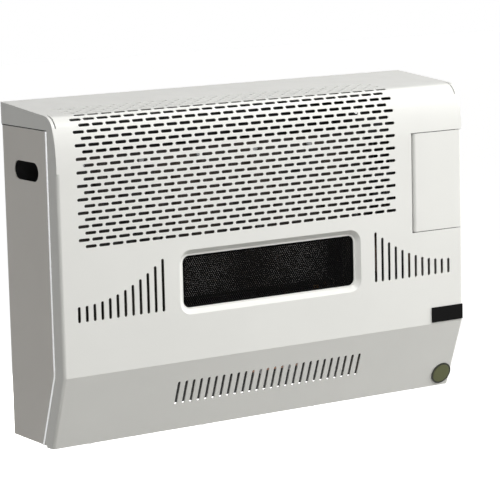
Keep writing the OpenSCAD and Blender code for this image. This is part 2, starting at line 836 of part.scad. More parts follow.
chamber_x = grille_x;
chamber_x0 = chamber_x - chamber_w / 2;
chamber_x1 = chamber_x + chamber_w / 2;
chamber_y1 = -back_t - chamber_gap;
chamber_y0 = chamber_y1 - chamber_d;
chamber_z0 = bottom_z + chamber_up;
chamber_z1 = chamber_z0 + chamber_h;
chamber_rim = 12;
burner_x = chamber_x;
burner_y = chamber_y1 - 0.4 * chamber_d;
burner_z = chamber_z0 + 35;
pilot_y = burner_y - 0.4 * chamber_d;
pilot_x = 110;
sensor_x = 125;
spark_x = 140;
pilot_run_z = chamber_z0 + 11;
sensor_run_z = chamber_z0 + 17;
spark_run_z = chamber_z0 + 23;
holder_r = 8;
duct_w = 130;
duct_z0 = chamber_z0 + 7;
duct_z1 = flue_z + intake_r + 10;
duct_y1 = -back_t - 7;

module combustion_chamber() color(hot_steel) difference() {
  block([chamber_x0, chamber_y0, chamber_z0], [chamber_x1, chamber_y1, chamber_z1]);
  block([chamber_x0 + chamber_t, chamber_y0 + chamber_t, chamber_z0 + chamber_t],
    [chamber_x1 - chamber_t, chamber_y1 - chamber_t, chamber_z1 - chamber_t]);
  block([chamber_x0 + chamber_rim, chamber_y0 - cut, chamber_z0 + chamber_rim],
    [chamber_x1 - chamber_rim, chamber_y0 + 2 * chamber_t, chamber_z1 - chamber_rim]);
  through_y(chamber_y1 - 2 * chamber_t, chamber_y1 + cut) {
    translate([0, flue_z]) circle(exhaust_r + shaft_gap);
    translate([0, chamber_z0 + 35]) square([duct_w - 30, 30], center = true);
  }
  translate([chamber_x1 - 2 * chamber_t, 0, 0]) rotate([0, 90, 0]) {
    translate([-burner_z, burner_y, 0]) cylinder(r = holder_r + shaft_gap, h = 4 * chamber_t);
    translate([-pilot_run_z, pilot_y, 0]) cylinder(r = pilot_r + fit_gap, h = 4 * chamber_t);
    translate([-sensor_run_z, pilot_y, 0]) cylinder(r = sensor_r + fit_gap, h = 4 * chamber_t);
    translate([-spark_run_z, pilot_y, 0]) cylinder(r = lead_r + fit_gap, h = 4 * chamber_t);
  }
}

front_t = chamber_t;
plate_y = chamber_y0 - front_t;
rib_r = 7;
rib_count = 11;
rib_pitch = 40;
view_w = opening_w + 11;
view_h = opening_h + 14;
frame_w = view_w + 48;
frame_h = view_h + 52;
frame_t = 3;
gasket_t = 1.5;
glass_lap = 10;

module chamber_front() color(hot_steel) {
  rib_z0 = window_z + frame_h / 2 + rib_r + 4;
  difference() {
    block([chamber_x0, plate_y, chamber_z0], [chamber_x1, chamber_y0, chamber_z1]);
    through_y(plate_y - cut, chamber_y0 + cut) translate([0, window_z])
      rounded_rect(view_w, view_h, 6);
  }
  intersection() {
    block([chamber_x0, plate_y - rib_r, chamber_z0], [chamber_x1, plate_y, chamber_z1]);
    for (i = [0:rib_count - 1])
      translate([chamber_x + (i - (rib_count - 1) / 2) * rib_pitch, plate_y, rib_z0]) {
        cylinder(r = rib_r, h = chamber_z1 - 20 - rib_z0, $fn = pipe_fn);
        sphere(rib_r, $fn = pipe_fn);
        translate([0, 0, chamber_z1 - 20 - rib_z0]) sphere(rib_r, $fn = pipe_fn);
      }
  }
}

module chamber_screws() color(zinc) {
  edge = chamber_rim / 2;
  for (i = [0:5], z = [chamber_z0 + edge, chamber_z1 - edge])
    front_screw(chamber_x0 + edge + i * (chamber_w - 2 * edge) / 5, plate_y, z, 4, 3, 2, 0);
}

module chamber_brackets() color(zinc)
  for (x = [-1, 1], z = [chamber_z0 + 20, chamber_z1 - 20])
    translate([chamber_x + x * (chamber_w / 2 - 30), 0, z]) difference() {
      block([-12, chamber_y1, -15], [12, -back_t, 15]);
      block([-12 + back_t, chamber_y1 + back_t, -15 - cut], [12 - back_t, -2 * back_t, 15 + cut]);
    }

module glass_gasket() color(ceramic)
  through_y(plate_y - gasket_t, plate_y) translate([0, window_z]) difference() {
    rounded_rect(view_w + 2 * glass_lap, view_h + 2 * glass_lap, 6);
    rounded_rect(view_w, view_h, 6);
  }

glass_y1 = plate_y - gasket_t;
glass_y0 = glass_y1 - glass_t;

module sight_glass() color([0.1, 0.1, 0.1, 0.6])
  through_y(glass_y0, glass_y1) translate([0, window_z])
    rounded_rect(view_w + 2 * glass_lap, view_h + 2 * glass_lap, 6);

frame_screw_x = frame_w / 2 - 7;
frame_screw_z = frame_h / 2 - 8;

module frame_screw_spots() {
  for (x = [-1, 0, 1], z = [-1, 1]) translate([x * frame_screw_x, 0, window_z + z * frame_screw_z])
    children();
}

module glass_frame() color(hot_steel) difference() {
  through_y(glass_y0 - frame_t, plate_y) translate([0, window_z]) rounded_rect(frame_w, frame_h, 8);
  through_y(glass_y0, plate_y + cut) translate([0, window_z])
    rounded_rect(view_w + 2 * glass_lap + 2 * fit_gap, view_h + 2 * glass_lap + 2 * fit_gap,
      6 + fit_gap);
  through_y(glass_y0 - frame_t - cut, plate_y) translate([0, window_z])
    rounded_rect(view_w, view_h, 6);
  frame_screw_spots() rotate([90, 0, 0]) translate([0, 0, -plate_y - cut])
    cylinder(r = 2 + shaft_gap, h = 40);
}

module glass_frame_screws() color(zinc)
  frame_screw_spots()
    front_screw(0, glass_y0 - frame_t, 0, 4, 2.5, 2, glass_t + gasket_t + frame_t);

module flue_baffle() color(hot_steel) {
  y0 = chamber_y1 - chamber_t;
  y1 = chamber_y1 - 0.6 * chamber_d;
  y2 = y1 - 12;
  across_x(chamber_x0 + chamber_t, chamber_x1 - chamber_t) polygon([
    [y0, 0], [y1, 0], [y2, 20], [y2 + 1.8, 21], [y1 + 0.8, 1.5], [y0, 1.5]]);
}

// Extrudes a Y-Z outline along X, from x0 to x1
module across_x(x0, x1) {
  translate([(x0 + x1) / 2, 0, 0]) across(x1 - x0) children();
}

// ---- Burner ----

tube_t = 1.2;
port_pitch = 9;
mouth_r = burner_r + 4;
mouth_l = 8;

module burner_tube() color(steel) {
  x0 = burner_x - burner_l / 2;
  ports = floor((burner_l - 60) / port_pitch);
  translate([x0, burner_y, burner_z]) difference() {
    rotate([0, 90, 0]) {
      cylinder(r = burner_r, h = burner_l);
      translate([0, 0, burner_l - mouth_l]) cylinder(r1 = burner_r, r2 = mouth_r, h = mouth_l);
    }
    translate([tube_t, 0, 0]) rotate([0, 90, 0]) cylinder(r = burner_r - tube_t, h = burner_l);
    translate([burner_l - mouth_l, 0, 0]) rotate([0, 90, 0])
      cylinder(r1 = burner_r - tube_t, r2 = mouth_r - tube_t, h = mouth_l + 0.01);
    for (i = [0:ports - 1]) translate([30 + i * port_pitch, 0, 0])
      block([-1.2, -5, burner_r / 2], [1.2, 5, burner_r + cut]);
  }
}

module burner_cradle() color(steel)
  for (x = [-3, 3] * burner_l / 8) translate([burner_x + x, 0, 0]) difference() {
    block([-1, burner_y - 22, chamber_z0 + chamber_t], [1, burner_y + 22, burner_z]);
    translate([-2, burner_y, burner_z]) rotate([0, 90, 0])
      cylinder(r = burner_r + shaft_gap, h = 4);
  }

holder_end = chamber_x1 + 14;
holder_in = burner_x + burner_l / 2 + 4;

module injector_holder() color(brass)
  translate([0, burner_y, burner_z]) rotate([0, 90, 0]) difference() {
    union() {
      translate([0, 0, holder_in]) cylinder(r = holder_r, h = holder_end - holder_in);
      translate([0, 0, chamber_x1]) cylinder(r = 12, h = 10, $fn = 6);
    }
    translate([0, 0, holder_in - cut]) cylinder(r = 3, h = holder_end - holder_in - 6);
  }

module gas_injector() color(brass)
  translate([holder_in, burner_y, burner_z]) rotate([0, -90, 0]) difference() {
    union() {
      cylinder(r = 5, h = 6, $fn = 6);
      cylinder(r1 = 4, r2 = 2.5, h = 12);
    }
    translate([0, 0, -cut]) cylinder(r = 0.8, h = 14);
  }

// ---- Pilot set ----

shelf_z = burner_z + 4;
shelf_t = 1.5;
pilot_burner_r = 5;
sensor_tip_r = 3;
spark_body_r = 3.5;

module pilot_bracket() color(steel) {
  x0 = pilot_x - 10;
  x1 = spark_x + 10;
  wall_y = pilot_y + 6;
  block([x0, wall_y, chamber_z0 + chamber_t], [x1, wall_y + shelf_t, shelf_z]);
  difference() {
    block([x0, pilot_y - 7, shelf_z - shelf_t], [x1, wall_y + shelf_t, shelf_z]);
    for (spot = [[pilot_x, pilot_burner_r], [sensor_x, sensor_tip_r], [spark_x, spark_body_r]])
      translate([spot[0], pilot_y, shelf_z - 2 * shelf_t])
        cylinder(r = spot[1] + shaft_gap, h = 4 * shelf_t);
  }
}

module pilot_burner() color(brass) translate([pilot_x, pilot_y, shelf_z - 10]) difference() {
  union() {
    cylinder(r = pilot_burner_r, h = 30);
    translate([0, 0, 10]) cylinder(r = pilot_burner_r + 1.5, h = 4, $fn = 6);
  }
  translate([0, 0, 24]) cylinder(r = pilot_burner_r - 1.2, h = 10);
  block([-10, -10, 25], [10, -1, 31]);
}

module thermocouple() color(copper) translate([sensor_x, pilot_y, shelf_z - 12]) {
  cylinder(r = sensor_tip_r, h = 30);
  translate([0, 0, 30]) cylinder(r1 = sensor_tip_r, r2 = 1.5, h = 5);
  translate([0, 0, 12]) cylinder(r = sensor_tip_r + 1.5, h = 3, $fn = 6);
}

module ignition_electrode() color(ceramic) translate([spark_x, pilot_y, shelf_z - 10]) {
  cylinder(r = spark_body_r, h = 26);
  translate([0, 0, 10]) cylinder(r = spark_body_r + 1.2, h = 3);
  pipe_run([[0, 0, 26], [0, 0, 34], [-9, 0, 38]], 1);
}

// ---- Pipes and leads ----

module burner_pipe() color(copper) pipe_run([
  [outlet_x, port_y, valve_z0 - port_h], [outlet_x, port_y, burner_z],
  [outlet_x, burner_y, burner_z], [holder_end, burner_y, burner_z]], pipe_r);

module pilot_pipe() color(copper) {
  x0 = knob_x - valve_w / 2 - 6;
  x = x0 - 12;
  z0 = valve_z0 + side_port_up;
  pipe_run([[x0, port_y, z0], [x, port_y, z0],
    [x, port_y, chamber_z0 + 65], [x, pilot_y, pilot_run_z],
    [pilot_x, pilot_y, pilot_run_z], [pilot_x, pilot_y, shelf_z - 10]], pilot_r);
}

module thermocouple_lead() color(copper) {
  x0 = knob_x - valve_w / 2 - 6;
  x = x0 - 22;
  z0 = valve_z0 + side_port_up - 15;
  pipe_run([[x0, port_y - 15, z0], [x, port_y - 15, z0],
    [x, port_y - 15, chamber_z0 + 75], [x, pilot_y, sensor_run_z],
    [sensor_x, pilot_y, sensor_run_z], [sensor_x, pilot_y, shelf_z - 12]], sensor_r);
}

module ignition_lead() color([0.6, 0.12, 0.08]) {
  y0 = dial_y - igniter_flange_t + igniter_l + 6;
  x = knob_x - valve_w / 2 - 36;
  pipe_run([[knob_x, y0, button_z], [knob_x, y0 + 10, button_z], [x, y0 + 10, button_z],
    [x, y0 + 10, chamber_z0 + 85], [x, pilot_y, spark_run_z],
    [spark_x, pilot_y, spark_run_z], [spark_x, pilot_y, shelf_z - 10]], lead_r);
}

collar_z = bottom_z + 26;
collar_h = 10;
thread_l = 16;
thread_z = bottom_z - inlet_out + thread_l;

module inlet_pipe() color(copper)
  translate([inlet_x, port_y, collar_z + collar_h])
    cylinder(r = inlet_pipe_r, h = valve_z0 - port_h - collar_z - collar_h);

module inlet_nipple() color(brass)
  translate([inlet_x, port_y, 0]) difference() {
    union() {
      translate([0, 0, thread_z - thread_l]) cylinder(r = inlet_r, h = thread_l);
      translate([0, 0, thread_z]) cylinder(r = inlet_r + 1, h = collar_z - thread_z);
      translate([0, 0, collar_z]) cylinder(r = 16, h = collar_h, $fn = 6);
    }
    translate([0, 0, thread_z - thread_l - cut]) cylinder(r = 6, h = 2 * thread_l);
  }

module inlet_bracket() color(zinc) {
  z0 = collar_z - 2;
  difference() {
    block([inlet_x - 22, port_y - 20, z0], [panel_x, port_y + 20, collar_z]);
    translate([inlet_x, port_y, z0 - cut]) cylinder(r = inlet_r + 1 + shaft_gap, h = 2 + 2 * cut);
  }
  block([panel_x - 2, port_y - 20, z0], [panel_x, port_y + 20, collar_z + 18]);
}

// ---- Thermostat ----

bulb_r = 4;
bulb_l = 80;
bulb_x0 = 50;
bulb_y = -back_t - 9;
bulb_z = bottom_z + 40;

module thermostat_bulb() color(copper)
  translate([bulb_x0, bulb_y, bulb_z]) rotate([0, 90, 0]) {
    cylinder(r = bulb_r, h = bulb_l);
    sphere(bulb_r);
    translate([0, 0, bulb_l]) cylinder(r1 = bulb_r, r2 = capillary_r, h = 6);
  }

module bulb_clips() color(zinc)
  for (x = [12, bulb_l - 20]) translate([bulb_x0 + x, 0, 0]) difference() {
    block([0, bulb_y - bulb_r - 2, bulb_z - bulb_r - 2], [8, -back_t, bulb_z + bulb_r + 2]);
    translate([-cut, bulb_y, bulb_z]) rotate([0, 90, 0])
      cylinder(r = bulb_r + shaft_gap, h = 8 + 2 * cut);
  }

module bulb_capillary() color(copper) {
  x = knob_x - valve_w / 2 - 5;
  y = valve_y0 + valve_d - 8;
  z = valve_z0 - bulb_l / 4;
  pipe_run([[bulb_x0 + bulb_l + 6, bulb_y, bulb_z], [x, bulb_y, bulb_z], [x, y, bulb_z],
    [x, y, z], [knob_x, y, z], [knob_x, y, valve_z0]], capillary_r);
}

// ---- Flue ----

bead_w = 3;
bead_r = 1.5;

// A tube along +Y with a raised bead that stops the pipe pushed over it
module flue_tube(r, y0, y1, bead_y) {
  through_y(y0, y1) translate([0, flue_z]) difference() {
    circle(r);
    circle(r - flue_t);
  }
  through_y(bead_y, bead_y + bead_w) translate([0, flue_z]) difference() {
    circle(r + bead_r);
    circle(r - flue_t / 2);
  }
}

module air_duct() color(steel) difference() {
  block([-duct_w / 2, chamber_y1, duct_z0], [duct_w / 2, duct_y1, duct_z1]);
  block([-duct_w / 2 + chamber_t, chamber_y1 - cut, duct_z0 + chamber_t],
    [duct_w / 2 - chamber_t, duct_y1 - chamber_t, duct_z1 - chamber_t]);
  through_y(duct_y1 - 2 * chamber_t, duct_y1 + cut) translate([0, flue_z])
    circle(intake_r + shaft_gap);
}

module exhaust_tube() color(steel)
  flue_tube(exhaust_r, chamber_y1 - 12, exhaust_out, intake_out + 2);

module intake_tube() color(steel)
  flue_tube(intake_r, duct_y1 - chamber_t, intake_out, 2);

module wall_seal() color(dark_enamel)
  through_y(duct_y1, -back_t) translate([0, flue_z]) difference() {
    circle(duct_w / 2 - 1);
    circle(intake_r + fit_gap);
  }

shield_x = chamber_x1 + 18;

module heat_shield() color(zinc) {
  z0 = chamber_z0 + 70;
  block([shield_x, chamber_y0 + 4, z0], [shield_x + panel_t, -back_t, chamber_z1]);
  block([shield_x, -back_t - panel_t, z0], [shield_x + 14, -back_t, chamber_z1]);
}

front_cover();
window_guard();
guard_clips();
badge_plate();
round_emblem();
control_flap();
flap_hinge_pins();
flap_hinge_lugs();
flap_magnet();
magnet_bracket();
control_tray();
dial_ring();
control_knob();
valve_spindle();
igniter_button();
piezo_igniter();
piezo_nut();
gas_valve();
spindle_bush();
valve_bracket();
left_side_panel();
right_side_panel();
back_plate();
base_rail();
cover_screws();
combustion_chamber();
chamber_front();
chamber_screws();
chamber_brackets();
glass_gasket();
sight_glass();
glass_frame();
glass_frame_screws();
flue_baffle();
burner_tube();
burner_cradle();
injector_holder();
gas_injector();
pilot_bracket();
pilot_burner();
thermocouple();
ignition_electrode();
burner_pipe();
pilot_pipe();
thermocouple_lead();
ignition_lead();
inlet_pipe();
inlet_nipple();
inlet_bracket();
thermostat_bulb();
bulb_capillary();
bulb_clips();
air_duct();
exhaust_tube();
intake_tube();
wall_seal();
heat_shield();
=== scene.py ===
# %% [markdown]
# # Wall mounted gas heater
# A flat, room-sealed heater for gas: a white enamelled front with a field of small slots, a dished
# sight window, a flap over the controls, and a flue that leaves through the wall behind it.
# The solids come from the imported model. This script gives them their finish, and makes anew the few
# pieces whose real form is finer than the solid: the folded cover, the mesh in the window, the hems
# at the side seams, strips of black foam that paint the shade under the level seams, and the marks
# round the control knob.

# %% Load the imported model
import json
import math

import bmesh
import bpy
from mathutils import Matrix, Vector
from mathutils.bvhtree import BVHTree


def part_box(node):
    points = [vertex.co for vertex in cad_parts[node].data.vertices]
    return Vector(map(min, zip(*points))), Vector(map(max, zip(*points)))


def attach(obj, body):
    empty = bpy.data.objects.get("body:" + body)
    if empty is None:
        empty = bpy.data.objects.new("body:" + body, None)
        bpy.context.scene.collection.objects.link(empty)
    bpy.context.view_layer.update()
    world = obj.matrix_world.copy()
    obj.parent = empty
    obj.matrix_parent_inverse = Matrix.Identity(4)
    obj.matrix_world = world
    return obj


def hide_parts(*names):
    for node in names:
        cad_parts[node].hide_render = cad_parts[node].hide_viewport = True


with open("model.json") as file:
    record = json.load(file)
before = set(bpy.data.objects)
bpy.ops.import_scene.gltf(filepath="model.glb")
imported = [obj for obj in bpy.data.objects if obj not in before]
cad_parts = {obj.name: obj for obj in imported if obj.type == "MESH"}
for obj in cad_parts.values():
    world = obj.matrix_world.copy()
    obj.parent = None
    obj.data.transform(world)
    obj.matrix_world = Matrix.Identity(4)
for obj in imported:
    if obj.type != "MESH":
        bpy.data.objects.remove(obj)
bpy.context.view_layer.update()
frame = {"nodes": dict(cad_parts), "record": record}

MM = 0.001
nodes_by_name = frame["nodes"]

# %% [markdown]
# ## Camera and light
# The heater is seen from its left and a little from above, through a long lens, as a catalogue
# picture would show it. The lens and the camera's place were worked out from the rows of slots.

# %% Camera
camera_data = bpy.data.cameras.new("camera")
camera_data.lens = 172.8
camera_data.sensor_width = 36.0
camera_data.clip_end = 60.0
camera = bpy.data.objects.new("camera", camera_data)
camera.location = (-1.76797, -2.82946, 0.51418)
camera.rotation_euler = [math.radians(a) for a in (81.0849, 1.3646, -33.0969)]
bpy.context.scene.collection.objects.link(camera)
bpy.context.scene.camera = camera
bpy.context.scene.view_settings.view_transform = "Standard"
print("camera", tuple(round(v, 3) for v in camera.location))

# %% [markdown]
# A white enamelled sheet shows its form only by soft light that comes mostly from one side. Large
# lamps do that: one in front and above, one on the right, and a weak one on the left for the
# shaded side. A fourth stands behind the heater, for views of its back. The world adds very little.

# %% Lamps


def soft_lamp(name, place, aim, size, watts):
    data = bpy.data.lights.new(name, "AREA")
    data.shape = "RECTANGLE"
    data.size, data.size_y = size
    data.energy = watts
    lamp = bpy.data.objects.new(name, data)
    lamp.location = place
    lamp.rotation_euler = (Vector(aim) - Vector(place)).to_track_quat("-Z", "Y").to_euler()
    bpy.context.scene.collection.objects.link(lamp)


HEATER_MIDDLE = (0, -0.1, 0)
BIG_LAMP = (1.6, 1.6)
soft_lamp("front_lamp", (0.3, -2.2, 2.6), HEATER_MIDDLE, BIG_LAMP, 84)
soft_lamp("right_lamp", (3.0, -1.0, 1.0), HEATER_MIDDLE, BIG_LAMP, 84)
soft_lamp("left_lamp", (-3.0, -0.6, 0.5), HEATER_MIDDLE, BIG_LAMP, 12)
soft_lamp("back_lamp", (1.2, 2.6, -0.2), (0, 0, 0), (1.0, 0.8), 55)

# %% [markdown]
# The background is plain white for the camera, and in what glossy metal and glass mirror. All other
# light from the world is dim, so the lamps make the shading.

# %% World


def seen_by_eye(tree):
    """1 where a ray comes from the camera, a mirror or glass, else 0."""
    rays = tree.nodes.new("ShaderNodeLightPath")
    seen = rays.outputs["Is Camera Ray"]
    for kind in ("Is Glossy Ray", "Is Transmission Ray"):
        either = tree.nodes.new("ShaderNodeMath")
        either.operation = "MAXIMUM"
        tree.links.new(seen, either.inputs[0])
        tree.links.new(rays.outputs[kind], either.inputs[1])
        seen = either.outputs[0]
    return seen


world = bpy.data.worlds.new("studio")
bpy.context.scene.world = world
world.use_nodes = True
tree = world.node_tree
tree.nodes.clear()
skies = []
for colour, strength in (((1.0, 0.985, 0.96, 1), 0.02), ((1, 1, 1, 1), 1.0)):
    sky = tree.nodes.new("ShaderNodeBackground")
    sky.inputs["Color"].default_value = colour
    sky.inputs["Strength"].default_value = strength
    skies.append(sky)
mix = tree.nodes.new("ShaderNodeMixShader")
out = tree.nodes.new("ShaderNodeOutputWorld")
tree.links.new(seen_by_eye(tree), mix.inputs["Fac"])
tree.links.new(skies[0].outputs[0], mix.inputs[1])
tree.links.new(skies[1].outputs[0], mix.inputs[2])
tree.links.new(mix.outputs[0], out.inputs["Surface"])
print("world", world.name)

# %% [markdown]
# ## Finishes
# The small effects that several finishes share are made once, as node groups: the film of enamel,
# the worn edge, galvanised sheet, drawn metal, moulded plastic, print, hot steel, fibre and foam.
# Each gives out only colours, masks, roughness or height.

# %% Node helpers


class Group:
    """A node group with named sockets, made a node at a time."""

    def __init__(self, name, inputs, outputs):
        self.tree = bpy.data.node_groups.new(name, "ShaderNodeTree")
        for label, kind, value in inputs:
            socket = self.tree.interface.new_socket(label, in_out="INPUT", socket_type=kind)
            socket.default_value = value
        for label, kind in outputs:
            self.tree.interface.new_socket(label, in_out="OUTPUT", socket_type=kind)
        self.given = self.tree.nodes.new("NodeGroupInput")
        self.result = self.tree.nodes.new("NodeGroupOutput")

    def node(self, kind, links=None, **settings):
        n = self.tree.nodes.new(kind)
        for key, value in settings.items():
            setattr(n, key, value)
        for key, value in (links or {}).items():
            socket = n.inputs[key]
            if isinstance(value, bpy.types.NodeSocket):
                self.tree.links.new(value, socket)
            else:
                socket.default_value = value
        return n

    def math(self, operation, a, b=0.0, clamp=False):
        return self.node("ShaderNodeMath", {0: a, 1: b}, operation=operation,
                         use_clamp=clamp).outputs[0]

    def spread(self, value, low, high, out_low, out_high):
        n = self.node("ShaderNodeMapRange", {0: value, 1: low, 2: high, 3: out_low, 4: out_high})
        return n.outputs[0]

    def blend(self, factor, a, b, how="MIX"):
        n = self.node("ShaderNodeMix", data_type="RGBA", blend_type=how)
        for index, value in ((0, factor), (6, a), (7, b)):
            if isinstance(value, bpy.types.NodeSocket):
                self.tree.links.new(value, n.inputs[index])
            else:
                n.inputs[index].default_value = value
        return n.outputs[2]

    def place(self, scale=(1, 1, 1), turn=(0, 0, 0)):
        where = self.node("ShaderNodeTexCoord").outputs["Object"]
        return self.node("ShaderNodeMapping", {"Vector": where, "Scale": scale,
                                               "Rotation": turn}).outputs[0]

    def noise(self, scale, detail=2.0, rough=0.5, at=None):
        return self.node("ShaderNodeTexNoise", {
            "Vector": at or self.place(), "Scale": scale, "Detail": detail,
            "Roughness": rough}).outputs["Fac"]

    def tinted(self, value):
        """The group's own colour times a grey of the given value."""
        grey = self.node("ShaderNodeCombineColor", {0: value, 1: value, 2: value}).outputs[0]
        return self.blend(1.0, self.given.outputs["Colour"], grey, "MULTIPLY")

    def give(self, label, value):
        self.tree.links.new(value, self.result.inputs[label])


COLOUR, FLOAT = "NodeSocketColor", "NodeSocketFloat"
SURFACE = [("Colour", COLOUR), ("Roughness", FLOAT), ("Height", FLOAT)]
print("node helpers ready")

# %% [markdown]
# Where a coating runs over an edge it pulls thin and gets rubbed first. The mask compares the
# surface with the same surface as if its edges were rounded, so it finds edges of any piece.

# %% Worn edge
edge = Group("worn_edge", [("Radius", FLOAT, 0.0006)], [("Mask", FLOAT)])
rounded = edge.node("ShaderNodeBevel", {"Radius": edge.given.outputs["Radius"]}, samples=4)
plain = edge.node("ShaderNodeNewGeometry")
dot = edge.node("ShaderNodeVectorMath", operation="DOT_PRODUCT")
edge.tree.links.new(rounded.outputs[0], dot.inputs[0])
edge.tree.links.new(plain.outputs["Normal"], dot.inputs[1])
worn = edge.spread(dot.outputs["Value"], 0.99, 0.75, 0.0, 1.0)
patchy = edge.spread(edge.noise(90, 3), 0.35, 0.65, 0.45, 1.0)
edge.give("Mask", edge.math("MULTIPLY", worn, patchy, clamp=True))
print("group", edge.tree.name)

# %% [markdown]
# Baked enamel on steel: it flows to a fine orange peel about 3 mm across, holds a few tiny specks,
# and takes a faint cloudiness of colour over a hand's width. Where a surface faces up, above all
# on the top, a grey is mixed in: partly dust, partly painted shade that keeps the top darker.

# %% Enamel film
film = Group("enamel_film", [("Colour", COLOUR, (0.8, 0.8, 0.8, 1)),
                             ("Edge colour", COLOUR, (0.5, 0.5, 0.5, 1)),
                             ("Edge", FLOAT, 0.0), ("Dust and shade", FLOAT, 0.3)], SURFACE)
upright = film.node("ShaderNodeSeparateXYZ", {
    0: film.node("ShaderNodeNewGeometry").outputs["Normal"]}).outputs["Z"]
# Faces that look up take a grey: partly dust, partly painted shade that darkens the top.
facing_up = film.spread(upright, 0.86, 0.97, 0.0, 1.0)
dust_and_shade = film.math("MULTIPLY", facing_up, film.spread(film.noise(30, 4, 0.6), 0.3, 0.7, 0.85, 1.0))
dust_and_shade = film.math("MULTIPLY", dust_and_shade, film.given.outputs["Dust and shade"])
cloud = film.spread(film.noise(9, 2), 0.3, 0.7, 0.985, 1.012)
speck = film.spread(film.noise(1500, 1), 0.74, 0.8, 1.0, 0.93)
tone = film.math("MULTIPLY", cloud, speck)
base = film.tinted(tone)
rubbed = film.math("MULTIPLY", film.given.outputs["Edge"], 0.35)
coated = film.blend(rubbed, base, film.given.outputs["Edge colour"])
DUST_AND_SHADE_GREY = (0.36, 0.355, 0.34, 1)
film.give("Colour", film.blend(dust_and_shade, coated, DUST_AND_SHADE_GREY))
film.give("Roughness", film.math("ADD", film.spread(film.noise(26, 4, 0.6), 0.3, 0.7, 0.30, 0.38),
                                 film.math("MULTIPLY", dust_and_shade, 0.3)))
film.give("Height", film.noise(330, 1.5, 0.4))
print("group", film.tree.name)

# %% [markdown]
# Hot-dipped sheet carries a flowered pattern of zinc crystals, each a little brighter or duller
# than the next, over the long fine lines of the rolling mill.

# %% Galvanised and rolled sheet
zinc = Group("zinc_flowers", [("Colour", COLOUR, (0.6, 0.6, 0.6, 1)), ("Size", FLOAT, 110.0)],
             SURFACE)
wander = zinc.node("ShaderNodeTexNoise", {"Vector": zinc.place(), "Scale": 40.0}).outputs["Color"]
bent = zinc.node("ShaderNodeVectorMath", {0: wander, 1: (0.008, 0.008, 0.008)},
                 operation="MULTIPLY").outputs[0]
moved = zinc.node("ShaderNodeVectorMath", {0: zinc.place(), 1: bent}, operation="ADD").outputs[0]
cells = zinc.node("ShaderNodeTexVoronoi", {"Vector": moved, "Scale": zinc.given.outputs["Size"]})
pick = zinc.node("ShaderNodeSeparateColor", {0: cells.outputs["Color"]})
shade = zinc.spread(pick.outputs[0], 0, 1, 0.84, 1.06)
zinc.give("Colour", zinc.tinted(shade))
zinc.give("Roughness", zinc.spread(pick.outputs[1], 0, 1, 0.34, 0.50))
zinc.give("Height", zinc.noise(900, 2, at=zinc.place(scale=(0.05, 1, 1))))
print("group", zinc.tree.name)

# %% [markdown]
# Turned, drawn and pressed metal shows lines left by the tool, and dulls in patches where it has
# been handled or has met the air.

# %% Drawn metal
drawn = Group("drawn_metal", [("Colour", COLOUR, (0.6, 0.6, 0.6, 1)),
                              ("Dull colour", COLOUR, (0.4, 0.4, 0.4, 1)),
                              ("Dullness", FLOAT, 0.3)], SURFACE)
lines = drawn.noise(1400, 3, 0.6, at=drawn.place(scale=(1, 0.03, 1)))
patch = drawn.spread(drawn.noise(45, 4, 0.65), 0.42, 0.68, 0.0, 1.0)
dulled = drawn.math("MULTIPLY", patch, drawn.given.outputs["Dullness"])
fine = drawn.spread(lines, 0.3, 0.7, 0.9, 1.06)
fine3 = drawn.node("ShaderNodeCombineColor", {0: fine, 1: fine, 2: fine}).outputs[0]
aged = drawn.blend(dulled, drawn.given.outputs["Colour"], drawn.given.outputs["Dull colour"])
drawn.give("Colour", drawn.blend(1.0, aged, fine3, "MULTIPLY"))
drawn.give("Roughness", drawn.math("ADD", drawn.spread(lines, 0.3, 0.7, 0.24, 0.34),
                                   drawn.math("MULTIPLY", dulled, 0.3)))
drawn.give("Height", lines)
print("group", drawn.tree.name)

# %% [markdown]
# Moulded plastic has the fine grain of an eroded steel mould, and turns glossier where fingers
# rub it.

# %% Moulded grain
mould = Group("moulded_grain", [("Colour", COLOUR, (0.1, 0.1, 0.1, 1)), ("Edge", FLOAT, 0.0)],
              SURFACE)
grain = mould.noise(2600, 2, 0.6)
touch = mould.spread(mould.noise(60, 3), 0.4, 0.7, 0.0, 1.0)
mould.give("Colour", mould.blend(mould.math("MULTIPLY", mould.given.outputs["Edge"], 0.25),
                                 mould.given.outputs["Colour"], (0.35, 0.35, 0.35, 1)))
mould.give("Roughness", mould.math("SUBTRACT", mould.spread(grain, 0.3, 0.7, 0.46, 0.56),
                                   mould.math("MULTIPLY", touch, 0.08)))
mould.give("Height", grain)
print("group", mould.tree.name)

# %% [markdown]
# The round plate on the bevel is printed: an olive field inside a nearly black rim. The rim is
# found by its distance from the middle of the plate.

# %% Printed disc
disc_low, disc_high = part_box("round_emblem")
printed = Group("printed_disc", [("Colour", COLOUR, (0.1, 0.1, 0.05, 1)),
                                 ("Rim colour", COLOUR, (0.02, 0.02, 0.02, 1)),
                                 ("Rim radius", FLOAT, 0.014)], SURFACE)
where = printed.node("ShaderNodeTexCoord").outputs["Object"]
far = printed.node("ShaderNodeVectorMath", {0: where, 1: tuple((disc_low + disc_high) / 2)},
                   operation="DISTANCE").outputs["Value"]
over = printed.math("SUBTRACT", far, printed.given.outputs["Rim radius"])
rim = printed.spread(over, -0.0003, 0.0003, 0.0, 1.0)
fleck = printed.spread(printed.noise(700, 3, 0.6), 0.3, 0.7, 0.9, 1.08)
field = printed.tinted(fleck)
printed.give("Colour", printed.blend(rim, field, printed.given.outputs["Rim colour"]))
printed.give("Roughness", printed.spread(printed.noise(900, 2), 0.3, 0.7, 0.38, 0.48))
printed.give("Height", printed.noise(1500, 2, 0.5))
print("group", printed.tree.name)

# %% [markdown]
# Steel that sits round a flame keeps a matt, mottled skin: brownish where it gets hottest, with a
# grey bloom of fine oxide.

